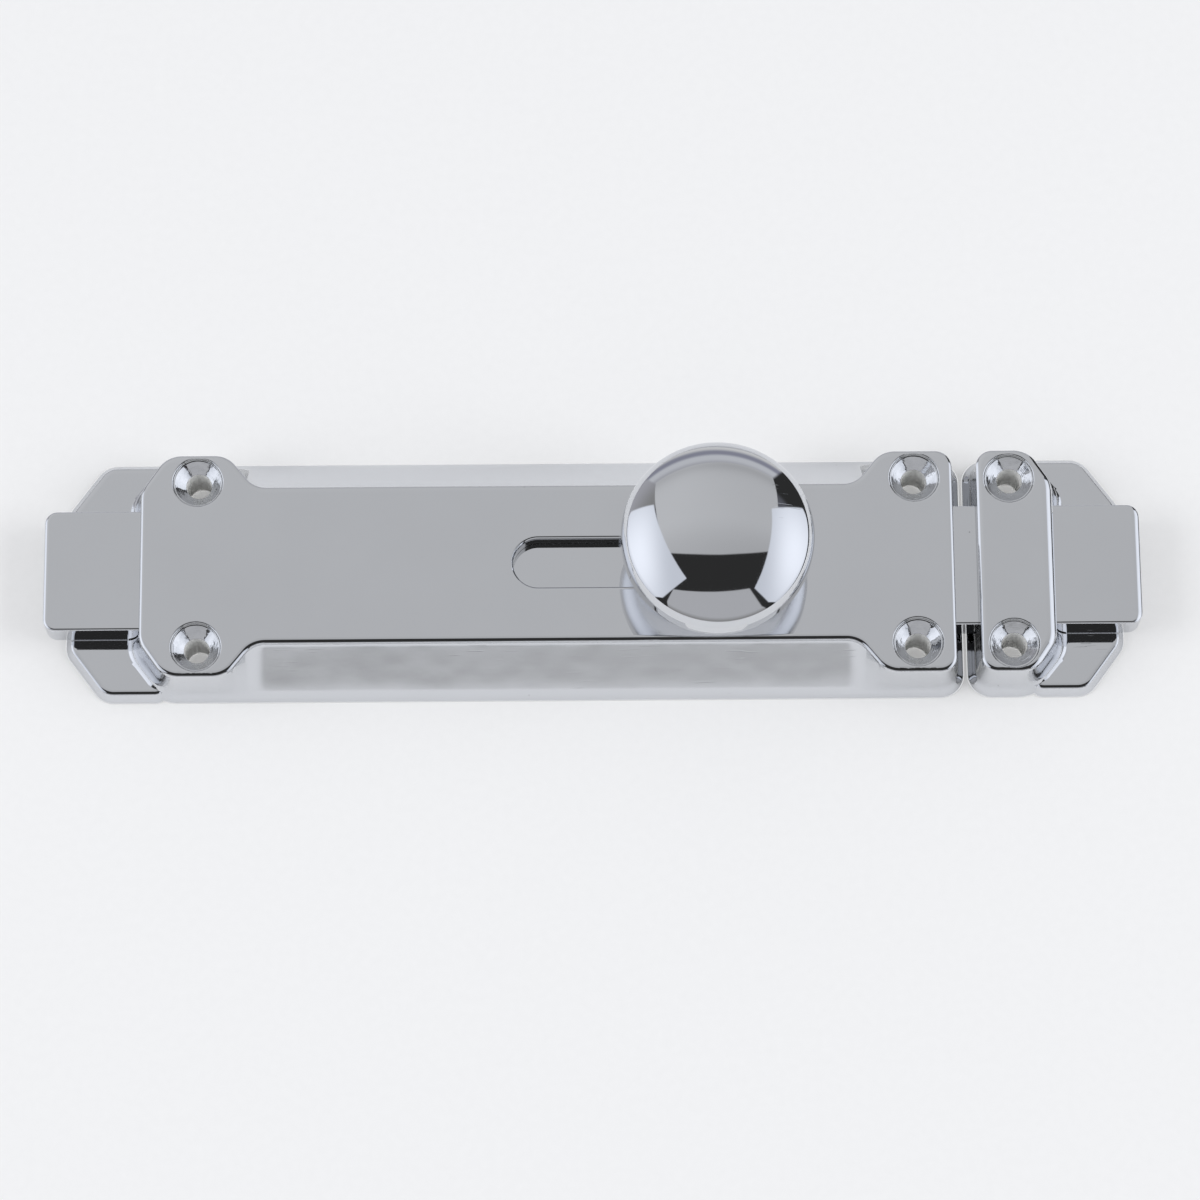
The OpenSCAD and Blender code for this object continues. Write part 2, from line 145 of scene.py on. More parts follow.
# How much steeper than straight the skirt ends at the door, and the softness of its start
SKIRT_CURVE = 1.15
SKIRT_SOFT = 0.35
# Reach and height of the cove between a pad and the wall over it
PAD_COVE = (1.2, 0.8)
# How the walls hollow out towards the foot, and the share of their lean that the lip has
COVE_POWER = 2.5
LIP_SHARE = 0.1

# Steps in an outline's rounded corner, in a rounded edge, down a slope, round the knob, round the
# hole for the knob's screw, round a small screw's hole and round a countersink
CORNER_STEPS = 14
EDGE_STEPS = 18
SLOPE_STEPS = 28
TURN_STEPS = 160
KNOB_HOLE_STEPS = 64
BACK_HOLE_STEPS = 32
SINK_STEPS = 96
# Steps in the fillet under the lip, and in the turns of a countersink's ledge and cone
FINE_STEPS = 4
# Least tilt of the last facet of a cutter's rim, in degrees, and a cutter's reach past a face
RIM_END = 3.0
OVER = 1.0
# A shift that keeps two faces of a Boolean from lying in one plane
HAIR = 0.004
# Points closer than this are one, and edges that turn by more than this many degrees stay sharp
MERGED = 0.0005
SHARP = 32.0
# How strongly the larger faces set the normals at a point
NORMAL_WEIGHT = 80

# What a face of a casting looks like, as its number in the list of the casting's materials
POLISHED, MACHINED, AS_CAST, DRILLED_PAINTED_LIGHT = range(4)
# Depth under the plate from which a countersink is machined
SINK_SKIN = 0.02

# Numbers of the colour inputs and output of a Mix node
MIX_FACTOR = 0
MIX_FIRST = 6
MIX_SECOND = 7
MIX_RESULT = 2

# Tint of the plated castings, bar and knob, as shares of red, green and blue
CHROME_TINT = (0.985, 1.0, 1.03)
# Height over which the polish gives way under the plate, and the heights between which it is back
BAND_H = 1.5
PAD_BAND = (0.9 * FLOOR_T, 1.3 * FLOOR_T)

# Floor: its radius in metres, its corners, how far under the back it lies, and the length up to which
# it lets a ray through
FLOOR_RADIUS = 12.0
FLOOR_STEPS = 96
FLOOR_DROP = 0.2
FLOOR_CLOSE = 1.0

# Studio. A panel is its compass angle from +Y in degrees, its corners as (along, up) at a distance of
# one from the bolt, and the softness of its edges. The ceiling's corners are (along X, along Y).
KEEPER_CORNER = (47.0, [(-0.24, 0.48), (0.24, 0.4), (0.24, 0.8), (-0.3, 0.8)], 0.06)
TAIL_CORNER = (-51.0, [(-0.26, -0.02), (0.26, -0.02), (0.26, 0.6), (-0.26, 0.6)], 0.05)
NEAR_WALL = (180.0, [(-0.85, -0.02), (0.86, -0.02), (1.08, 1.24), (-0.78, 1.34)], 0.02)
FAR_WALL = (0.0, [(-0.78, -0.02), (0.72, -0.02), (0.72, 0.5), (-0.78, 0.5)], 0.03)
CEILING = [(-0.8, -0.09), (-0.37, -0.14), (0.05, -0.157), (0.47, -0.13), (0.9, -0.07), (2.31, 3.25),
           (-2.14, 2.84)]
CEILING_SOFT = 0.015
TAIL_SOFTBOX = (-90.0, [(-0.73, 0.0), (0.5, 0.06), (0.81, 0.7), (-1.05, 1.99)], 0.02)
KEEPER_SOFTBOX = (90.0, [(-0.6, 0.2), (0.87, -0.02), (1.09, 1.44), (-0.76, 0.93)], 0.02)
CEILING_TINT = (1.0, 1.01, 1.035)
# Middle and reach of the softboxes' bright spot and of the dark spot far out on the ceiling, and how
# much that one takes away
HOT_SPOT = ((0.0, 0.5), (0.75, 0.45))
DARK_SPOT = ((0.0, 2.6), (6.0, 0.7))
DARK_LOSS = 0.12
# How far a direction has to go towards a panel to fall on it
LEAST_DEPTH = 0.001

# Lamps, in metres and watts: the place of the one on the keeper's side, which the other mirrors
LAMP_PLACE = (1.1, -0.1, 0.85)
LAMP_SIZE = 0.8
LAMP_POWER = 7.5

# Camera: elevation, azimuth and roll in degrees, its distance from the point that it aims at, and the
# film's width and the lens in their own millimetres
CAMERA_ANGLES = (73.8898, -1.6453, 1.1755)
CAMERA_DISTANCE = 899.5
CAMERA_AIM = (7.806, -3.615, 0.0)
FILM_W = 36.0
LENS = 147.56
# The nearest and the farthest that the camera sees, in metres
CAMERA_CLIP = (0.01, 50.0)


def rounded(corners):
    """Counterclockwise outline through corners of (x, y, radius): points and outward normals."""
    count = len(corners)
    area = sum(a[0] * b[1] - b[0] * a[1] for a, b in zip(corners, corners[1:] + corners[:1]))
    if area < 0:
        corners = corners[::-1]
    outline = []
    for i, (x, y, radius) in enumerate(corners):
        here = Vector((x, y))
        to_last = (Vector(corners[i - 1][:2]) - here).normalized()
        to_next = (Vector(corners[(i + 1) % count][:2]) - here).normalized()
        half = to_last.angle(to_next) / 2
        centre = here + (to_last + to_next).normalized() * (radius / math.sin(half))
        start = here + to_last * (radius / math.tan(half)) - centre
        end = here + to_next * (radius / math.tan(half)) - centre
        first = math.atan2(start.y, start.x)
        turn = (math.atan2(end.y, end.x) - first + math.pi) % math.tau - math.pi
        outwards = 1 if turn > 0 else -1
        for k in range(CORNER_STEPS + 1):
            angle = first + turn * k / CORNER_STEPS
            arm = Vector((math.cos(angle), math.sin(angle)))
            outline.append((centre + arm * radius, arm * outwards))
    return outline


def circle(centre, radius, steps):
    """Points of a circle, counterclockwise."""
    angles = [math.tau * k / steps for k in range(steps)]
    return [Vector((centre[0] + radius * math.cos(a), centre[1] + radius * math.sin(a))) for a in angles]


def both_sides(corners):
    """Corners above the middle line, and then their mirror images below it."""
    return corners + [(x, -y, r) for x, y, r in reversed(corners)]


def normals_of(points):
    """The same points, each with its outward normal from its neighbours."""
    paired = []
    for i, point in enumerate(points):
        along = (points[(i + 1) % len(points)] - points[i - 1]).normalized()
        paired.append((point, Vector((along.y, -along.x))))
    return paired


def grown(outline, distance):
    """The outline's points, moved outwards by a distance."""
    return [point + normal * distance for point, normal in outline]


def inwards(y):
    """How far in from the ears' sides a place is, as a share of the waist's depth."""
    return (EAR_W / 2 - abs(y)) / (EAR_W / 2 - WAIST_W / 2)


def at_waist(x, span):
    """Whether a place along the case is at its waist or at a shoulder, where the walls slope."""
    reach = SHOULDER_R * math.tan(math.atan((EAR_W - WAIST_W) / 2 / SHOULDER_L) / 2)
    return span[0] < span[1] and span[0] - reach < x < span[1] + reach


def leaned(points, span, ends, side, widen):
    """The points leaned out: at the two ends, at the long sides, and widened at waist and shoulders."""
    low_x = min(p.x for p in points)
    high_x = max(p.x for p in points)
    moved = []
    for p in points:
        to_low = max(0, (span[0] - p.x) / (span[0] - low_x))
        to_high = max(0, (p.x - span[1]) / (high_x - span[1]))
        y = abs(p.y) * (1 + 2 * side / EAR_W)
        if at_waist(p.x, span):
            # The slope runs out level with the wall of the ear at the one end of the shoulder
            foot = EAR_W / 2 + side + (SIDE_LEAN - side) * inwards(p.y)
            y += widen * (foot - y)
        moved.append(Vector((p.x - ends[0] * to_low + ends[1] * to_high, math.copysign(y, p.y))))
    return moved


def level(points, z):
    """The points at one height."""
    return [Vector((p.x, p.y, z)) for p in points]


def rolled(outline, top, edge):
    """Rings of a buffed edge, from its upright foot to its flat top at a height.

    The rings are spaced evenly by tilt, so that a reflection sweeps over them evenly.
    """
    sides, low_end, high_end, tip = edge
    rings = []
    for k in range(EDGE_STEPS + 1):
        tilt = math.pi / 2 * (1 - k / EDGE_STEPS)
        ring = []
        for point, normal in outline:
            end = high_end if normal.x > 0 else low_end
            share = normal.x ** 2
            radius = sides[0] + (end[0] - sides[0]) * share
            last = math.radians(sides[1] + (end[1] - sides[1]) * share)
            height = tip * math.cos(last) + radius * (1 - math.cos(last))
            if tilt > last:
                inset = tip * (1 - math.sin(tilt))
                up = tip * math.cos(tilt)
            else:
                inset = tip * (1 - math.sin(last)) + radius * (math.sin(last) - math.sin(tilt))
                up = tip * math.cos(last) + radius * (math.cos(tilt) - math.cos(last))
            place = point - normal * inset
            ring.append(Vector((place.x, place.y, top - height + up)))
        rings.append(ring)
    return rings


def stacked(name, rings):
    """Object with walls through rings of points, from the lowest to the highest, closed at both ends."""
    bm = bmesh.new()
    rows = [[bm.verts.new(point) for point in ring] for ring in rings]
    for lower, upper in zip(rows, rows[1:]):
        for i in range(len(lower)):
            j = (i + 1) % len(lower)
            bm.faces.new((lower[i], lower[j], upper[j], upper[i]))
    bm.faces.new(reversed(rows[0]))
    bm.faces.new(rows[-1])
    return made(name, bm)


def turned(name, profile, centre, steps=TURN_STEPS):
    """Object turned about an upright axis from a closed profile of (radius, height) pairs."""
    bm = bmesh.new()
    rows = []
    for radius, z in profile:
        if radius == 0:
            rows.append([bm.verts.new((centre[0], centre[1], z))] * steps)
        else:
            rows.append([bm.verts.new(point) for point in level(circle(centre, radius, steps), z)])
    for lower, upper in zip(rows, rows[1:]):
        for i in range(steps):
            j = (i + 1) % steps
            corners = dict.fromkeys((lower[i], lower[j], upper[j], upper[i]))
            if len(corners) > 2:
                bm.faces.new(tuple(corners))
    return made(name, bm)


def block(name, low, high):
    """Box between two corners."""
    bm = bmesh.new()
    bmesh.ops.create_cube(bm, size=1)
    size = Vector(high) - Vector(low)
    middle = (Vector(high) + Vector(low)) / 2
    for v in bm.verts:
        v.co = Vector((v.co.x * size.x, v.co.y * size.y, v.co.z * size.z)) + middle
    return made(name, bm)


def made(name, bm):
    """Object in the scene from a mesh under construction, with its faces turned outwards."""
    bmesh.ops.recalc_face_normals(bm, faces=bm.faces)
    mesh = bpy.data.meshes.new(name)
    bm.to_mesh(mesh)
    bm.free()
    obj = bpy.data.objects.new(name, mesh)
    bpy.context.scene.collection.objects.link(obj)
    return obj


def carve(obj, tool, operation="DIFFERENCE"):
    """Cuts a closed tool out of an object, or joins it on, and deletes the tool."""
    step = obj.modifiers.new("Carve", "BOOLEAN")
    step.operation = operation
    step.object = tool
    step.solver = "MANIFOLD"
    mesh = bpy.data.meshes.new_from_object(obj.evaluated_get(bpy.context.evaluated_depsgraph_get()))
    obj.modifiers.clear()
    obj.data = mesh
    bpy.data.objects.remove(tool)


def finished(obj, body, node, materials, pick=None):
    """Brings a piece to metres, gives it its materials and smooth shading, and ties it to its node."""
    bm = bmesh.new()
    bm.from_mesh(obj.data)
    bmesh.ops.remove_doubles(bm, verts=bm.verts, dist=MERGED)
    bmesh.ops.dissolve_degenerate(bm, edges=bm.edges, dist=MERGED)
    obj.data.materials.clear()
    for material in materials:
        obj.data.materials.append(material)
    for face in bm.faces:
        face.smooth = True
        face.material_index = pick(face.calc_center_median(), face.normal) if pick else 0
    for edge in bm.edges:
        edge.smooth = len(edge.link_faces) == 2 and edge.calc_face_angle(0) < math.radians(SHARP)
    bm.to_mesh(obj.data)
    bm.free()
    obj.data.transform(Matrix.Scale(MM, 4))
    weighted = obj.modifiers.new("Flat faces keep their normals", "WEIGHTED_NORMAL")
    weighted.keep_sharp = True
    weighted.weight = NORMAL_WEIGHT
    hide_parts(node)
    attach(obj, body)
    return obj


def cover(name, outline, span, ends, edge):
    """Walls and plate of a casting, from the door up, with its skirt and its buffed edge."""
    def wall(down):
        """Ring at a share of the way down from the lip to the pad's level."""
        bare = down * down / (2 * LIP_FILLET) if down < LIP_FILLET else down - LIP_FILLET / 2
        widen = bare / (1 - LIP_FILLET / 2)
        hollow = SLOPE_HOLLOW * max(0, widen - HOLLOW_START) ** 2
        widen = (widen + hollow) / (1 + SLOPE_HOLLOW * (1 - HOLLOW_START) ** 2)
        share = LIP_SHARE + (1 - LIP_SHARE) * down ** COVE_POWER
        return leaned([p for p, n in outline], span, [end * share for end in ends], SIDE_LEAN * share, widen)

    # The skirt starts softly under an upright wall, and goes straight on under a sloping one
    softness = [SKIRT_SOFT * (1 - inwards(p.y) * at_waist(p.x, span)) for p, n in outline]
    pad_way = -1 if ends[0] > ends[1] else 1

    def skirted(points, z):
        """Ring of the wall's points at a height, moved out by the skirt and by the cove over the pad."""
        straight = FLARE * (1 - (z / FLOOR_T) ** SKIRT_CURVE)
        cove = PAD_COVE[0] * math.exp(-abs(z - FLOOR_T) / PAD_COVE[1])
        ring = []
        for (point, normal), soft in zip(normals_of(points), softness):
            out = (straight + math.hypot(straight, soft)) / (1 + math.hypot(1, soft / FLARE))
            out += cove * max(0, pad_way * normal.x) ** 2
            place = point + normal * out
            ring.append(Vector((place.x, place.y, z)))
        return ring

    foot = wall(1)
    rings = []
    for k in range(EDGE_STEPS + 1):
        z = FLOOR_T * k / EDGE_STEPS
        rings.append(skirted(foot, z))
    downs = [1 - k / SLOPE_STEPS for k in range(1, SLOPE_STEPS)]
    downs += [LIP_FILLET * (1 - k / FINE_STEPS) for k in range(1, FINE_STEPS + 1)]
    for down in downs:
        z = LIP_Z - down * (LIP_Z - FLOOR_T)
        rings.append(skirted(wall(down), z))
    return stacked(name, rings + rolled(outline, CASE_H, edge))


def pad(name, square_x, pad_x):
    """Low pad in front of a plate, with cut corners, a skirt and a buffed edge."""
    way = math.copysign(1, square_x - pad_x)
    outline = rounded(both_sides([
        (square_x, FOOT_W / 2 - HAIR, FLARE + OVER),
        (pad_x + way * PAD_CUT[0], FOOT_W / 2 - HAIR, PAD_R + FLARE),
        (pad_x, FOOT_W / 2 - PAD_CUT[1], PAD_R + FLARE)]))
    sides, tip = PAD_EDGE
    height = tip * math.cos(math.radians(sides[1])) + sides[0] * (1 - math.cos(math.radians(sides[1])))
    low = FLOOR_T - height
    rings = []
    for k in range(EDGE_STEPS + 1):
        rise = k / EDGE_STEPS * low / FLOOR_T
        rings.append(level(grown(outline, -FLARE * rise ** SKIRT_CURVE), rise * FLOOR_T))
    inset = FLARE * (low / FLOOR_T) ** SKIRT_CURVE
    shoulder = [(point - normal * inset, normal) for point, normal in outline]
    buffed = rolled(shoulder, FLOOR_T, (sides, sides, sides, tip))
    return stacked(name, rings + buffed[PAD_SKIPPED:])


def rim_flare(size):
    """The rounded rim that a cutter leaves round a hole: (out, down) pairs, deepest first."""
    width, height = size
    pairs = [(0.0, height)]
    last = math.pi / 2 - math.radians(RIM_END)
    for k in range(1, EDGE_STEPS + 1):
        tilt = math.pi / 2 - last * k / EDGE_STEPS
        angle = math.atan(height / (width * math.tan(tilt)))
        pairs.append((width * (1 - math.cos(angle)), height * (1 - math.sin(angle))))
    return pairs


def cut_tunnel(obj, low_x, high_x):
    """Cuts the bar's tunnel through a casting, out past both its ends."""
    carve(obj, block("tunnel_cutter", (low_x - OVER, -TUNNEL_W / 2, FLOOR_T + HAIR),
                     (high_x + OVER, TUNNEL_W / 2, ROOF_Z)))


def cut_slot(obj):
    """Cuts the knob's slot and its rounded rim through the roof."""
    half = NECK_D / 2 + NECK_GAP
    ends = [(KNOB_X - TRAVEL, math.pi / 2), (KNOB_X, -math.pi / 2)]
    steps = 3 * CORNER_STEPS
    outline = []
    for x, first in ends:
        for k in range(steps + 1):
            angle = first + math.pi * k / steps
            arm = Vector((math.cos(angle), math.sin(angle)))
            outline.append((Vector((x, 0)) + arm * half, arm))
    rings = [level(grown(outline, 0), ROOF_Z - OVER)]
    rings += [level(grown(outline, out), CASE_H - down) for out, down in rim_flare(SLOT_RIM)]
    rings.append(level(rings[-1], CASE_H + OVER))
    carve(obj, stacked("slot_cutter", rings))


def cut_fixing_hole(obj, x, y, drift):
    """Cuts a fixing hole: its rounded rim and ledge, and the cone, drilled a little out of line.

    The drift is the direction from the cone's middle to the rim's, in degrees.
    """
    hole = SCREW_HOLE_D / 2
    mouth = SINK_D / 2 - SINK_RIM[0] + SINK_REACH
    rim = [(mouth + out, down) for out, down in rim_flare(SINK_RIM)]
    # The ledge turns from steep to nearly level, and then over into the cone
    steep, flat = LEDGE_TILTS
    cone_tilt = 90 - SINK_HALF_ANGLE
    tilts = [steep - (steep - flat) * k / (FINE_STEPS + 1) for k in range(FINE_STEPS + 2)]
    tilts += [flat + (cone_tilt - flat) * k / FINE_STEPS for k in range(1, FINE_STEPS + 1)]
    step = SINK_LEDGE / len(tilts)
    profile = []
    radius = mouth
    depth = SINK_RIM[1]
    for tilt in tilts:
        radius -= step * math.cos(math.radians(tilt))
        depth += step * math.sin(math.radians(tilt))
        profile.append((radius, depth))
    # The cone goes straight down to the rounded edge at the hole
    depth += (radius - hole - SINK_EDGE) * math.tan(math.radians(cone_tilt))
    for k in range(FINE_STEPS + 1):
        tilt = math.radians(cone_tilt + SINK_HALF_ANGLE * k / FINE_STEPS)
        share = (1 - math.sin(tilt)) / (1 - math.sin(math.radians(cone_tilt)))
        profile.append((hole + SINK_EDGE * share, depth))
        depth += SINK_EDGE / FINE_STEPS
    profile = [(hole, CASE_H + OVER)] + profile[::-1] + rim
    profile.append((rim[-1][0], -OVER))
    arm = Vector((math.cos(math.radians(drift)), math.sin(math.radians(drift)))) * SINK_SHIFT
    rings = []
    for radius, depth in profile:
        share = min(1, max(0, (radius - hole) / (mouth - hole)))
        centre = Vector((x, y)) + arm * share
        rings.append(level(circle(centre, radius, SINK_STEPS), CASE_H - depth))
    carve(obj, stacked("sink_cutter", rings))


def casting_faces(centre, normal):
    """Which finish a face of a casting has, from its middle and its normal."""
    for hole_x in (-SCREW_DX / 2, SCREW_DX / 2, KEEPER_X):
        reach = math.hypot(centre.x - hole_x, abs(centre.y) - SCREW_DY / 2)
        upright = abs(normal.z) < 0.5
        if reach < SCREW_HOLE_D / 2 + HAIR and upright:
            return DRILLED_PAINTED_LIGHT
        if reach < SINK_D / 2 + SINK_REACH and CASE_H - SINK_D / 2 < centre.z < CASE_H - SINK_SKIN:
            return MACHINED
    low = centre.z < ROOF_Z + HAIR
    in_tunnel = abs(centre.y) < TUNNEL_W / 2 + HAIR
    under_plate = PLATE_X[0] < centre.x < PLATE_X[1] or KEEPER_PLATE_X[0] < centre.x < KEEPER_PLATE_X[1]
    facing_door = normal.z < -0.9
    return AS_CAST if low and (facing_door or in_tunnel and under_plate) else POLISHED


def case_shape():
    """Case: cover and tail pad in one, with the tunnel, slot, fixing holes and back window."""
    outline = rounded(both_sides([
        (PLATE_X[1], EAR_W / 2, CORNER_R),
        (NOSE_EAR_X, EAR_W / 2, SHOULDER_R),
        (NOSE_EAR_X - SHOULDER_L, WAIST_W / 2, SHOULDER_R),
        (TAIL_EAR_X + SHOULDER_L, WAIST_W / 2, SHOULDER_R),
        (TAIL_EAR_X, EAR_W / 2, SHOULDER_R),
        (PLATE_X[0] + CASE_CUT[0], EAR_W / 2, CUT_R),
        (PLATE_X[0], EAR_W / 2 - CASE_CUT[1], CUT_R)]))
    obj = cover("door_bolt_case", outline, (TAIL_EAR_X, NOSE_EAR_X), (PAD_LEAN, END_LEAN), CASE_EDGE)
    carve(obj, pad("case_pad", PLATE_X[0] + CASE_CUT[0], PAD_X), "UNION")
    carve(obj, block("window_cutter", (-WINDOW[0] / 2, -WINDOW[1] / 2, -OVER),
                     (WINDOW[0] / 2, WINDOW[1] / 2, FLOOR_T + OVER)))
    carve(obj, block("rebate_cutter", (-BACK_PLATE[0] / 2, -BACK_PLATE[1] / 2, -OVER),
                     (BACK_PLATE[0] / 2, BACK_PLATE[1] / 2, BACK_PLATE[2])))
    x, y, radius, depth = BACK_SCREW
    profile = [(0, 0), (radius, 0), (radius, depth), (0, depth)]
    for place in ((-x, -y), (-x, y), (x, -y), (x, y)):
        carve(obj, turned("screw_hole_cutter", profile, place, BACK_HOLE_STEPS))
    cut_tunnel(obj, PLATE_X[0] - PAD_LEAN, PLATE_X[1] + END_LEAN + FLARE)
    cut_slot(obj)
    for x, drift in CASE_DRIFTS:
        for y in (-SCREW_DY / 2, SCREW_DY / 2):
            cut_fixing_hole(obj, x, y, drift)
    return obj


def keeper_shape():
    """Keeper: the same casting cut short, open at both ends for the bar."""
    outline = rounded(both_sides([
        (KEEPER_PLATE_X[1], EAR_W / 2 - KEEPER_CUT[1], CUT_R),
        (KEEPER_PLATE_X[1] - KEEPER_CUT[0], EAR_W / 2, CUT_R),
        (KEEPER_PLATE_X[0], EAR_W / 2, CORNER_R)]))
    obj = cover("keeper_casting", outline, (KEEPER_X, KEEPER_X), (KEEPER_LEAN, PAD_LEAN), KEEPER_EDGE)
    carve(obj, pad("keeper_pad", KEEPER_PLATE_X[1] - KEEPER_CUT[0], KEEPER_PAD_X), "UNION")
    cut_tunnel(obj, KEEPER_PLATE_X[0] - KEEPER_LEAN - FLARE, KEEPER_PLATE_X[1] + PAD_LEAN)
    for y, drift in KEEPER_DRIFTS:
        cut_fixing_hole(obj, KEEPER_X, y, drift)
    return obj


def bar_shape():
    """Flat bar with rounded edges and corners, and the knob screw's countersunk hole."""
    bottom = FLOOR_T + BAR_GAP
    outline = rounded([(BAR_X[0], -BAR_W / 2, BAR_CORNER_R), (BAR_X[1], -BAR_W / 2, BAR_CORNER_R),
                       (BAR_X[1], BAR_W / 2, BAR_CORNER_R), (BAR_X[0], BAR_W / 2, BAR_CORNER_R)])
    upper = rolled(outline, bottom + BAR_T, BAR_EDGE)
    lower = [[Vector((p.x, p.y, 2 * bottom + BAR_T - p.z)) for p in ring] for ring in reversed(upper)]
    obj = stacked("sliding_bar", lower + upper)
    hole = KNOB_SCREW_D / 2 + THREAD_GAP
    head = KNOB_HEAD_D / 2 + THREAD_GAP
    profile = [(0, bottom - OVER), (head + OVER, bottom - OVER), (hole, bottom + head - hole),
               (hole, bottom + BAR_T + OVER), (0, bottom + BAR_T + OVER)]
    carve(obj, turned("knob_screw_cutter", profile, (KNOB_X, 0), KNOB_HOLE_STEPS))
    return obj


def knob_shape():
    """Knob: neck, collar, rounded underside, belt, rounded edge and domed top, with its screw's hole."""
    bar_top = FLOOR_T + BAR_GAP + BAR_T
    collar_z = CASE_H + COLLAR_GAP
    low_z = CASE_H + KNOB_RISE - KNOB_BELT / 2
    edge_z = CASE_H + KNOB_RISE + KNOB_BELT / 2
    edge_x = KNOB_D / 2 - KNOB_EDGE_R
    meet = math.asin(edge_x / (DOME_R - KNOB_EDGE_R))
    dome_z = edge_z - (DOME_R - KNOB_EDGE_R) * math.cos(meet)
    under = math.acos(COLLAR_D / KNOB_D)
    hole = KNOB_SCREW_D / 2 + THREAD_GAP
    hole_top = bar_top + KNOB_SCREW_GRIP + 2 * THREAD_GAP
    profile = [(0, hole_top), (hole, hole_top), (hole, bar_top), (NECK_D / 2, bar_top),
               (NECK_D / 2, collar_z)]
    for k in range(EDGE_STEPS + 1):
        angle = math.pi / 2 * k / EDGE_STEPS
        profile.append((COLLAR_D / 2 - COLLAR_ROUND * (1 - math.sin(angle)),
                        collar_z + COLLAR_ROUND * (1 - math.cos(angle))))
    steps = 3 * EDGE_STEPS
    for k in range(steps + 1):
        angle = under * (1 - k / steps)
        profile.append((KNOB_D / 2 * math.cos(angle), low_z - KNOB_DOWN * math.sin(angle)))
    for k in range(2 * EDGE_STEPS + 1):
        angle = math.pi / 2 - (math.pi / 2 - meet) * k / (2 * EDGE_STEPS)
        profile.append((edge_x + KNOB_EDGE_R * math.sin(angle), edge_z + KNOB_EDGE_R * math.cos(angle)))
    for k in range(1, steps + 1):
        angle = meet * (1 - k / steps)
        profile.append((DOME_R * math.sin(angle) if k < steps else 0, dome_z + DOME_R * math.cos(angle)))
    return turned("round_knob", profile, (KNOB_X, 0))


class Graph:
    """Adds nodes to one node tree, with their inputs given by name or number."""

    def __init__(self, tree):
        self.tree = tree
        tree.nodes.clear()

    def node(self, kind, inputs=None, **settings):
        """A node with its settings, and its inputs set to values or linked from sockets."""
        made_node = self.tree.nodes.new(kind)
        for name, value in settings.items():
            setattr(made_node, name, value)
        for name, value in (inputs or {}).items():
            if isinstance(value, bpy.types.NodeSocket):
                self.tree.links.new(value, made_node.inputs[name])
            else:
                made_node.inputs[name].default_value = value
        return made_node

    def math(self, operation, *values):
        """The result of a Math node on numbers or sockets."""
        return self.node("ShaderNodeMath", dict(enumerate(values)), operation=operation).outputs[0]

    def along(self, way, direction):
        """How far a direction goes along another."""
        inputs = dict(enumerate((way, direction)))
        return self.node("ShaderNodeVectorMath", inputs, operation="DOT_PRODUCT").outputs["Value"]

    def height(self, place):
        """The Z of a place."""
        return self.node("ShaderNodeSeparateXYZ", {"Vector": place}).outputs["Z"]

    def mix(self, factor, first, second):
        """A colour mixed from two. The node has one input of each name for every kind of value."""
        inputs = {MIX_FACTOR: factor, MIX_FIRST: first, MIX_SECOND: second}
        return self.node("ShaderNodeMix", inputs, data_type="RGBA", blend_type="MIX").outputs[MIX_RESULT]

    def ramp(self, value, low, high, to_low=0.0, to_high=1.0):
        """A value mapped smoothly from one range to another and held at its ends."""
        inputs = {"Value": value, "From Min": low, "From Max": high, "To Min": to_low, "To Max": to_high}
        return self.node("ShaderNodeMapRange", inputs, interpolation_type="SMOOTHSTEP").outputs[0]

    def noise(self, place, scale, detail=3.0, roughness=0.5):
        """Noise of a given scale at a place, about 0.5."""
        inputs = {"Vector": place, "Scale": scale, "Detail": detail, "Roughness": roughness}
        return self.node("ShaderNodeTexNoise", inputs).outputs["Fac"]

    def bump(self, height, distance, normal=None):
        """A normal bent by a height between 0 and 1, which stands for a distance in metres."""
        inputs = {"Height": height, "Distance": distance, "Strength": 1.0}
        if normal is not None:
            inputs["Normal"] = normal
        return self.node("ShaderNodeBump", inputs).outputs[0]


def grey(level, tint=(1.0, 1.0, 1.0)):
    """A colour of one level, slightly tinted."""
    return (level * tint[0], level * tint[1], level * tint[2], 1.0)


def scratches(graph, place, turn, chance):
    """Rare hairline scratches that run in one direction, as 0 or up to 1."""
    spun = graph.node("ShaderNodeMapping", {"Vector": place, "Rotation": (0.0, 0.0, math.radians(turn)),
                                            "Scale": (150.0, 4200.0, 150.0)}).outputs[0]
    lines = graph.noise(spun, scale=1.0, detail=0.0)
    where = graph.noise(place, scale=90.0, detail=1.0)
    return graph.math("MULTIPLY", graph.ramp(lines, low=chance, high=chance + 0.05),
                      graph.ramp(where, low=0.56, high=0.66))


def pits(graph, place, scale, size, kept=0.28):
    """Sparse round pits in a share of a texture's cells: 1 at a pit's middle, 0 from its edge on."""
    cells = graph.node("ShaderNodeTexVoronoi", {"Vector": place, "Scale": scale}, feature="F1")
    pick = graph.node("ShaderNodeSeparateColor", {"Color": cells.outputs["Color"]}).outputs[0]
    spot = graph.ramp(cells.outputs["Distance"], low=size, high=size * 0.4)
    return graph.math("MULTIPLY", spot, graph.math("GREATER_THAN", pick, 1 - kept))


def new_material(name):
    """A material and the graph that builds it, with its surface place in metres."""
    material = bpy.data.materials.new(name)
    material.use_nodes = True
    graph = Graph(material.node_tree)
    place = graph.node("ShaderNodeTexCoord").outputs["Object"]
    return material, graph, place


def shade(graph, inputs):
    """Ends a material's graph in its shader, which is metal unless its inputs say otherwise."""
    shader = graph.node("ShaderNodeBsdfPrincipled", {"Metallic": 1.0, **inputs})
    output = graph.node("ShaderNodeOutputMaterial")
    graph.tree.links.new(shader.outputs[0], output.inputs[0])


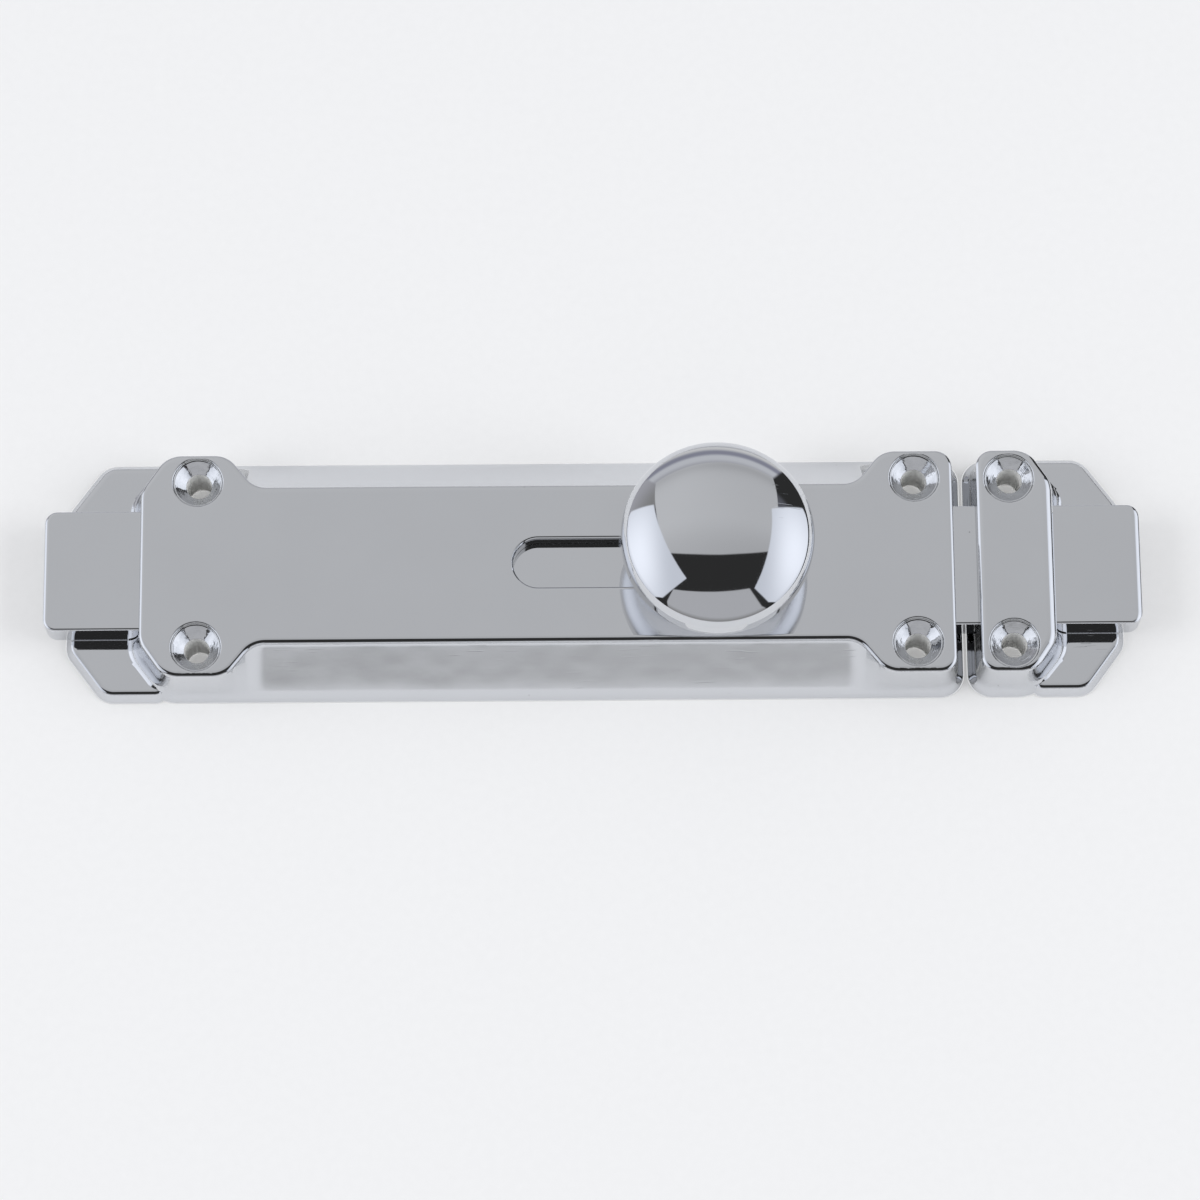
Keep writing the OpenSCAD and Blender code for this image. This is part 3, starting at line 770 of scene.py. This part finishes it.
def polished_chrome(name, wave=1.0, rough=0.03, low_rough=0.03, low_z=LIP_Z):
    """Bright plated chrome: a near mirror with faint waves, smudges, scratches and pits.

    What lies below a height and above the pads, which is harder to polish, can have a roughness of
    its own.
    """
    material, graph, place = new_material(name)
    cloud = graph.noise(place, scale=70.0, detail=4.0)
    marks = graph.math("MAXIMUM", scratches(graph, place, turn=24.0, chance=0.74),
                       scratches(graph, place, turn=-58.0, chance=0.75))
    holes = pits(graph, place, scale=210.0, size=0.045)
    height = graph.height(place)
    below = graph.ramp(height, low=low_z * MM, high=(low_z - BAND_H) * MM)
    above = graph.ramp(height, low=PAD_BAND[0] * MM, high=PAD_BAND[1] * MM)
    dull = graph.math("MULTIPLY", below, above)
    smudge = graph.ramp(graph.noise(place, scale=26.0, detail=3.0), low=0.42, high=0.75, to_high=0.022)
    roughness = graph.math("MULTIPLY_ADD", dull, low_rough - rough, graph.math("ADD", smudge, rough))
    for flaw, added in ((marks, 0.05), (holes, 0.25)):
        roughness = graph.math("ADD", roughness, graph.math("MULTIPLY", flaw, added))
    clean = graph.mix(cloud, grey(0.655, CHROME_TINT), grey(0.69, CHROME_TINT))
    colour = graph.mix(graph.math("MULTIPLY", holes, 0.6), clean, grey(0.25))
    waves = graph.bump(graph.noise(place, scale=60.0, detail=2.0), distance=0.00006 * wave)
    peel = graph.bump(graph.noise(place, scale=380.0, detail=2.0), distance=0.000002 * wave, normal=waves)
    whole = graph.math("SUBTRACT", 1.0, graph.math("MAXIMUM", holes, marks))
    dents = graph.bump(whole, distance=0.000003, normal=peel)
    shade(graph, {"Base Color": colour, "Roughness": roughness, "Normal": dents})
    return material


def ringed(graph, place, pitch):
    """Level rings from 0 to 1 and back, with so many radians in a metre of height."""
    wave = graph.math("SINE", graph.math("MULTIPLY", graph.height(place), pitch))
    return graph.math("MULTIPLY_ADD", wave, 0.5, 0.5)


def machined_chrome(name):
    """Chrome over a turned countersink: brighter, with fine rings of tool marks and mottling."""
    material, graph, place = new_material(name)
    mottle = graph.noise(place, scale=900.0, detail=3.0)
    roughness = graph.ramp(mottle, low=0.3, high=0.75, to_low=0.05, to_high=0.16)
    colour = graph.mix(mottle, grey(0.74, (0.99, 1.0, 1.02)), grey(0.6, (0.98, 1.0, 1.03)))
    turned_marks = graph.bump(ringed(graph, place, pitch=26000.0), distance=0.0000035)
    dents = graph.bump(graph.noise(place, scale=520.0, detail=2.0), distance=0.0001, normal=turned_marks)
    fine = graph.bump(mottle, distance=0.00004, normal=dents)
    shade(graph, {"Base Color": colour, "Roughness": roughness, "Normal": fine})
    return material


def raw_casting(name):
    """Thinly plated cast metal where no one polishes: greyish, grainy and dull."""
    material, graph, place = new_material(name)
    grain = graph.noise(place, scale=1400.0, detail=5.0, roughness=0.65)
    patches = graph.noise(place, scale=120.0, detail=3.0)
    colour = graph.mix(patches, grey(0.36, (0.98, 1.0, 0.95)), grey(0.48, (0.99, 1.0, 0.97)))
    roughness = graph.ramp(grain, low=0.25, high=0.8, to_low=0.38, to_high=0.62)
    dents = graph.bump(grain, distance=0.00006)
    shade(graph, {"Base Color": colour, "Roughness": roughness, "Normal": dents})
    return material


def drilled_wall_painted_light(name):
    """Pale matt wall of a drilled hole, scored by the drill. Part of its paleness is painted light in the
    deep hole.
    """
    material, graph, place = new_material(name)
    grain = graph.noise(place, scale=1100.0, detail=4.0, roughness=0.6)
    # Painted light: the wall's colour is set near white, paler than bare metal, so that the deep hole looks
    # brightly lit
    colour = graph.mix(grain, grey(0.82, (1.0, 1.0, 0.98)), grey(0.96, (1.0, 1.0, 0.99)))
    roughness = graph.ramp(grain, low=0.25, high=0.8, to_low=0.3, to_high=0.5)
    dents = graph.bump(grain, distance=0.00003)
    scores = graph.bump(ringed(graph, place, pitch=14000.0), distance=0.000006, normal=dents)
    shade(graph, {"Base Color": colour, "Roughness": roughness, "Metallic": 0.0, "Normal": scores})
    return material


def brushed_steel(name, bright, tint, fineness=900.0, rough=0.28):
    """Rolled and plated steel with fine lines along X and cloudy stains."""
    material, graph, place = new_material(name)
    stretched = graph.node("ShaderNodeMapping", {"Vector": place, "Scale": (14.0, fineness, fineness)})
    lines = graph.noise(stretched.outputs[0], scale=1.0, detail=3.0)
    stains = graph.noise(place, scale=90.0, detail=4.0)
    colour = graph.mix(stains, grey(bright * 0.8, tint), grey(bright, tint))
    roughness = graph.math("ADD", graph.ramp(lines, low=0.3, high=0.7, to_low=rough, to_high=rough + 0.14),
                           graph.math("MULTIPLY", stains, 0.08))
    dents = graph.bump(lines, distance=0.000012)
    shade(graph, {"Base Color": colour, "Roughness": roughness, "Normal": dents})
    return material


def bare_floor():
    """Wide matt pale floor that the bolt lies on, and that is seen through from below."""
    bm = bmesh.new()
    bmesh.ops.create_circle(bm, cap_ends=True, segments=FLOOR_STEPS, radius=FLOOR_RADIUS)
    obj = made("pale_floor", bm)
    if obj.data.polygons[0].normal.z < 0:
        obj.data.flip_normals()
    obj.location.z = -FLOOR_DROP * MM
    material, graph, place = new_material("pale floor")
    fibres = graph.noise(place, scale=600.0, detail=4.0)

    def matt(dark, bright):
        """Matt surface between two levels of grey."""
        colour = graph.mix(fibres, grey(dark), grey(bright))
        return graph.node("ShaderNodeBsdfDiffuse", {"Color": colour}).outputs[0]

    # Seen straight from the camera the floor glows faintly, so that its shadows stay light
    glow = graph.node("ShaderNodeEmission", {"Color": grey(0.3)}).outputs[0]
    seen = graph.node("ShaderNodeAddShader", {0: matt(0.56, 0.59), 1: glow}).outputs[0]
    light_path = graph.node("ShaderNodeLightPath").outputs
    inputs = {0: light_path["Is Camera Ray"], 1: matt(0.86, 0.9), 2: seen}
    upper = graph.node("ShaderNodeMixShader", inputs).outputs[0]
    # It lets through what comes from below, and what leaves the bolt's back close above it
    close = graph.math("LESS_THAN", light_path["Ray Length"], FLOOR_CLOSE * MM)
    below = graph.math("MAXIMUM", close, graph.node("ShaderNodeNewGeometry").outputs["Backfacing"])
    clear = graph.node("ShaderNodeBsdfTransparent").outputs[0]
    surface = graph.node("ShaderNodeMixShader", {0: below, 1: upper, 2: clear}).outputs[0]
    graph.tree.links.new(surface, graph.node("ShaderNodeOutputMaterial").inputs[0])
    obj.data.materials.append(material)


def panel(graph, way, directions, corners, soft):
    """How far a direction falls inside a flat panel seen from the bolt, from 0 to 1, and where on it.

    The panel faces the bolt along the first of three directions. Its corners, and the place on it,
    are given along the second and third of them, at a distance of one.
    """
    toward, across, up = directions
    depth = graph.along(way, toward)
    safe = graph.math("MAXIMUM", depth, LEAST_DEPTH)
    a = graph.math("DIVIDE", graph.along(way, across), safe)
    b = graph.math("DIVIDE", graph.along(way, up), safe)
    inside = graph.math("GREATER_THAN", depth, LEAST_DEPTH)
    for first, second in zip(corners, corners[1:] + corners[:1]):
        edge = (Vector(second) - Vector(first)).normalized()
        offset = edge.x * first[1] - edge.y * first[0]
        reach = graph.math("SUBTRACT", graph.math("SUBTRACT", graph.math("MULTIPLY", b, edge.x),
                                                  graph.math("MULTIPLY", a, edge.y)), offset)
        inside = graph.math("MULTIPLY", inside, graph.ramp(reach, low=-soft, high=soft))
    return inside, a, b


def spot_on(graph, a, b, middle, reach):
    """A soft spot at a place on a panel: 1 in its middle, falling off to 0 round it."""
    far = []
    for value, centre, width in zip((a, b), middle, reach):
        shift = graph.math("DIVIDE", graph.math("SUBTRACT", value, centre), width)
        far.append(graph.math("POWER", shift, 2.0))
    return graph.math("POWER", math.e, graph.math("MULTIPLY", graph.math("ADD", *far), -1.0))


def facing(degrees):
    """Level direction at a compass angle from +Y, with the directions across it and up."""
    angle = math.radians(degrees)
    toward = (math.sin(angle), math.cos(angle), 0.0)
    return toward, (math.cos(angle), -math.sin(angle), 0.0), (0.0, 0.0, 1.0)


def studio_world():
    """Soft studio round the bolt: walls, a ceiling, a softbox at each side and a dark gap overhead.

    The camera itself sees plain pale surroundings.
    """
    world = bpy.data.worlds.new("studio")
    bpy.context.scene.world = world
    world.use_nodes = True
    graph = Graph(world.node_tree)
    way = graph.node("ShaderNodeTexCoord").outputs["Generated"]
    light = grey(0.035)

    def seen_in(angle, corners, soft):
        """How far the direction falls inside an upright panel, and where on it."""
        return panel(graph, way, facing(angle), corners, soft)

    # Dark grey corner past the keeper's side, and mid grey corner past the tail's side
    mask, a, b = seen_in(*KEEPER_CORNER)
    light = graph.mix(mask, light, grey(0.13, (0.98, 1.0, 1.15)))
    mask, a, b = seen_in(*TAIL_CORNER)
    tone = graph.mix(graph.ramp(b, low=0.1, high=0.5), grey(0.47, (1.0, 1.0, 1.08)), grey(0.3))
    light = graph.mix(mask, light, tone)

    # Low grey wall on the camera's side, darker at its foot
    mask, a, b = seen_in(*NEAR_WALL)
    tone = graph.mix(graph.ramp(b, low=0.0, high=0.6), grey(0.33), grey(0.56, (0.98, 0.99, 1.03)))
    light = graph.mix(mask, light, tone)

    # Far wall below the ceiling: pale at its foot, a bluish dark strip, a pale shelf, and grey above
    mask, a, b = seen_in(*FAR_WALL)
    tone = graph.mix(graph.ramp(b, low=0.1, high=0.02), grey(0.33, (0.93, 0.95, 1.16)), grey(0.75))
    tone = graph.mix(graph.ramp(b, low=0.13, high=0.2), tone, grey(0.66, (0.98, 1.0, 1.06)))
    tone = graph.mix(graph.ramp(b, low=0.24, high=0.34), tone, grey(0.5, (0.98, 0.99, 1.06)))
    light = graph.mix(mask, light, tone)

    # Grey ceiling, from the far wall to just past the top: brighter towards the far side and the
    # tail's side, and darker again far out
    upwards = ((0.0, 0.0, 1.0), (1.0, 0.0, 0.0), (0.0, 1.0, 0.0))
    mask, a, b = panel(graph, way, upwards, CEILING, CEILING_SOFT)
    bright = graph.math("ADD", graph.ramp(b, low=-0.15, high=0.45, to_low=0.545, to_high=0.645),
                        graph.ramp(a, low=-0.9, high=0.6, to_low=0.035, to_high=-0.03))
    loss = graph.math("MULTIPLY", spot_on(graph, a, b, *DARK_SPOT), DARK_LOSS)
    bright = graph.math("SUBTRACT", bright, loss)
    shares = dict(enumerate(graph.math("MULTIPLY", bright, share) for share in CEILING_TINT))
    tone = graph.node("ShaderNodeCombineColor", shares).outputs[0]
    light = graph.mix(mask, light, tone)

    # A softbox at each end, on the tail's side and on the keeper's side
    for softbox in (TAIL_SOFTBOX, KEEPER_SOFTBOX):
        mask, a, b = seen_in(*softbox)
        hot = spot_on(graph, a, b, *HOT_SPOT)
        tone = graph.mix(hot, grey(0.8, (0.955, 1.0, 1.1)), grey(1.3, (0.965, 1.0, 1.08)))
        light = graph.mix(mask, light, tone)

    # Everything under the level of the floor is pale
    light = graph.mix(graph.ramp(graph.height(way), low=0.01, high=-0.01), light, grey(1.02))
    camera_ray = graph.node("ShaderNodeLightPath").outputs["Is Camera Ray"]
    shown = graph.mix(camera_ray, light, grey(0.92))
    background = graph.node("ShaderNodeBackground", {"Color": shown, "Strength": 1.0})
    output = graph.node("ShaderNodeOutputWorld")
    graph.tree.links.new(background.outputs[0], output.inputs[0])


def fill_lamp(name, place):
    """Large soft lamp that lights matt surfaces and shows in no mirror."""
    data = bpy.data.lights.new(name, "AREA")
    data.shape = "SQUARE"
    data.size = LAMP_SIZE
    data.energy = LAMP_POWER
    obj = bpy.data.objects.new(name, data)
    bpy.context.scene.collection.objects.link(obj)
    obj.location = place
    obj.rotation_euler = (-Vector(place)).to_track_quat("-Z", "Y").to_euler()
    obj.visible_glossy = False
    obj.visible_camera = False


def camera():
    """Camera at the photograph's angle, almost straight above the plate and a little to its near side."""
    elevation, azimuth, roll = (math.radians(angle) for angle in CAMERA_ANGLES)
    back = Vector((math.sin(azimuth) * math.cos(elevation), -math.cos(azimuth) * math.cos(elevation),
                   math.sin(elevation)))
    sideways = Vector((math.cos(azimuth), math.sin(azimuth), 0.0))
    upright = back.cross(sideways)
    right = sideways * math.cos(roll) + upright * math.sin(roll)
    upwards = upright * math.cos(roll) - sideways * math.sin(roll)
    data = bpy.data.cameras.new("camera")
    data.sensor_width = FILM_W
    data.lens = LENS
    data.clip_start, data.clip_end = CAMERA_CLIP
    obj = bpy.data.objects.new("camera", data)
    bpy.context.scene.collection.objects.link(obj)
    turn = Matrix((right, upwards, back)).transposed().to_4x4()
    obj.matrix_world = Matrix.Translation((Vector(CAMERA_AIM) + back * CAMERA_DISTANCE) * MM) @ turn
    bpy.context.scene.camera = obj


def repaint(nodes, material):
    """Gives CAD nodes that stay in view their material."""
    for name in nodes:
        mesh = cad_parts[name].data
        mesh.materials.clear()
        mesh.materials.append(material)


chrome = polished_chrome("polished chrome casting", low_rough=0.12)
bar_chrome = polished_chrome("polished chrome bar", wave=0.7)
belt_z = CASE_H + KNOB_RISE - KNOB_BELT / 2
knob_chrome = polished_chrome("polished chrome knob", wave=0.5, low_rough=0.24, low_z=belt_z)
sink_chrome = machined_chrome("machined chrome")
raw = raw_casting("raw casting")
# The drilled holes' walls are pale metal with painted light that brightens them deep in the holes
drilled = drilled_wall_painted_light("drilled wall with painted light")
zinc = brushed_steel("zinc plated steel", bright=0.62, tint=(0.97, 1.0, 1.03))
spring = brushed_steel("blued spring steel", bright=0.3, tint=(0.8, 0.92, 1.1), rough=0.2)
screw_steel = brushed_steel("bright screw steel", bright=0.66, tint=(1.0, 0.99, 0.96), fineness=300.0,
                            rough=0.2)

# In the order of a face's finishes: polished, machined, as cast, and drilled with painted light on its pale
# wall
casting = [chrome, sink_chrome, raw, drilled]
finished(case_shape(), "case", "case", casting, casting_faces)
finished(keeper_shape(), "keeper", "keeper", casting, casting_faces)
finished(bar_shape(), "bolt", "bolt_bar", [bar_chrome])
finished(knob_shape(), "bolt", "knob", [knob_chrome])
repaint(["back_plate"], zinc)
repaint(["friction_spring"], spring)
repaint([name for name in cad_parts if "screw" in name or "rivet" in name], screw_steel)

bare_floor()
studio_world()
fill_lamp("tail_side_lamp", (-LAMP_PLACE[0], *LAMP_PLACE[1:]))
fill_lamp("keeper_side_lamp", LAMP_PLACE)
camera()

bpy.context.scene.view_settings.view_transform = "Standard"
